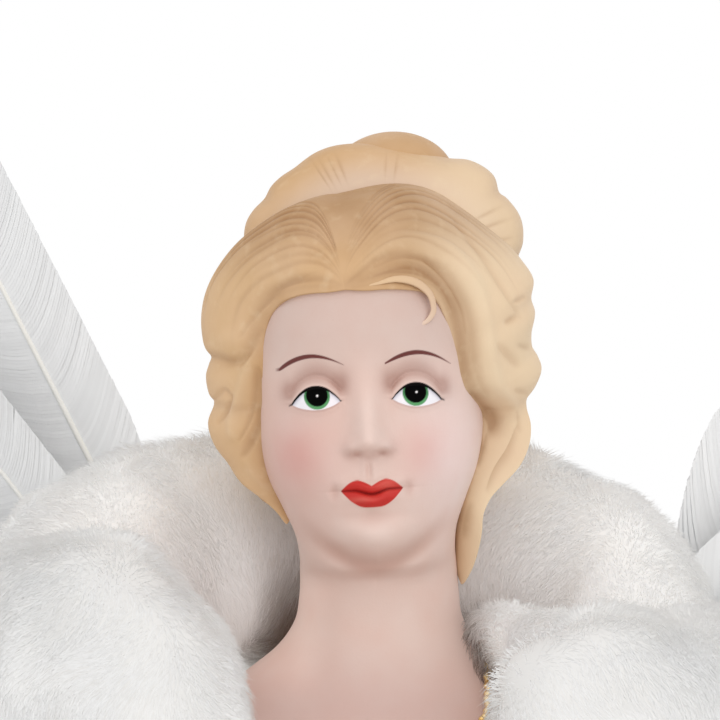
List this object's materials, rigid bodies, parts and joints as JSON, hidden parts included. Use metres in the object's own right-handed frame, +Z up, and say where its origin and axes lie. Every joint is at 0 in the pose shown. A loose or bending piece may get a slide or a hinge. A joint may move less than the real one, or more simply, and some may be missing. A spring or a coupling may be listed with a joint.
{
  "type": "angel tree topper",
  "caption": "Angel tree topper: bisque head and shoulders with moulded hair, fur collar, folding feather wings, swinging arms and a gathered gown over a cone that fits a tree's tip.",
  "frame": {"origin": "centre of the cone's rim, on the surface that the topper stands on", "axes": "+Z up, the face towards -Y, the angel's left side towards +X"},
  "size_m": [0.306, 0.177, 0.4036],
  "materials": {
    "bisque": "matt bisque, hand-painted face and hair",
    "card": "stiff card",
    "muslin": "stuffed muslin",
    "wood": "plain dowel",
    "satin": "ivory satin",
    "net": "stiff net",
    "gold": "gold metallic trim",
    "fur": "white pile fur",
    "feather": "white goose feather",
    "wire": "plain wire"
  },
  "bodies": {
    "figure": {"tree_cone": "card", "petticoat": "net", "gown_skirt": "satin", "torso": "muslin", "neck_dowel": "wood", "gown_bodice": "satin", "waist_sash": "gold", "neckline_beads": "gold", "fur_collar": "fur", "bust": "bisque", "wing_bracket": "card"},
    "left_arm": {"left_arm_wire": "wire", "left_sleeve": "satin", "left_fur_cuff": "fur", "left_hand": "bisque"},
    "left_wing": {"left_wing_stem": "wire", "left_wing_card": "card", "left_flight_feather_1": "feather", "left_flight_feather_2": "feather", "left_flight_feather_3": "feather", "left_flight_feather_4": "feather", "left_flight_feather_5": "feather", "left_flight_feather_6": "feather", "left_flight_feather_7": "feather", "left_flight_feather_8": "feather", "left_covert_feather_1": "feather", "left_covert_feather_2": "feather", "left_covert_feather_3": "feather", "left_covert_feather_4": "feather", "left_covert_feather_5": "feather", "left_down_feather_1": "feather", "left_down_feather_2": "feather", "left_down_feather_3": "feather", "left_down_feather_4": "feather"},
    "right_arm": {"right_arm_wire": "wire", "right_sleeve": "satin", "right_fur_cuff": "fur", "right_hand": "bisque"},
    "right_wing": {"right_wing_stem": "wire", "right_wing_card": "card", "right_flight_feather_1": "feather", "right_flight_feather_2": "feather", "right_flight_feather_3": "feather", "right_flight_feather_4": "feather", "right_flight_feather_5": "feather", "right_flight_feather_6": "feather", "right_flight_feather_7": "feather", "right_flight_feather_8": "feather", "right_covert_feather_1": "feather", "right_covert_feather_2": "feather", "right_covert_feather_3": "feather", "right_covert_feather_4": "feather", "right_covert_feather_5": "feather", "right_down_feather_1": "feather", "right_down_feather_2": "feather", "right_down_feather_3": "feather", "right_down_feather_4": "feather"}
  },
  "joints": [
    {"name": "left_shoulder", "type": "hinge", "parent": "figure", "child": "left_arm", "pos_m": [0.0445, 0, 0.2533], "axis": [-1, 0, 0], "range_deg": [-15, 30]},
    {"name": "right_shoulder", "type": "hinge", "parent": "figure", "child": "right_arm", "pos_m": [-0.0445, 0, 0.2533], "axis": [-1, 0, 0], "range_deg": [-15, 30]},
    {"name": "left_wing_fold", "type": "hinge", "parent": "figure", "child": "left_wing", "pos_m": [0.014, 0.02691, 0.2293], "axis": [0, 0, 1], "range_deg": [-8, 35]},
    {"name": "right_wing_fold", "type": "hinge", "parent": "figure", "child": "right_wing", "pos_m": [-0.014, 0.02691, 0.2293], "axis": [0, 0, -1], "range_deg": [-8, 35]}
  ]
}
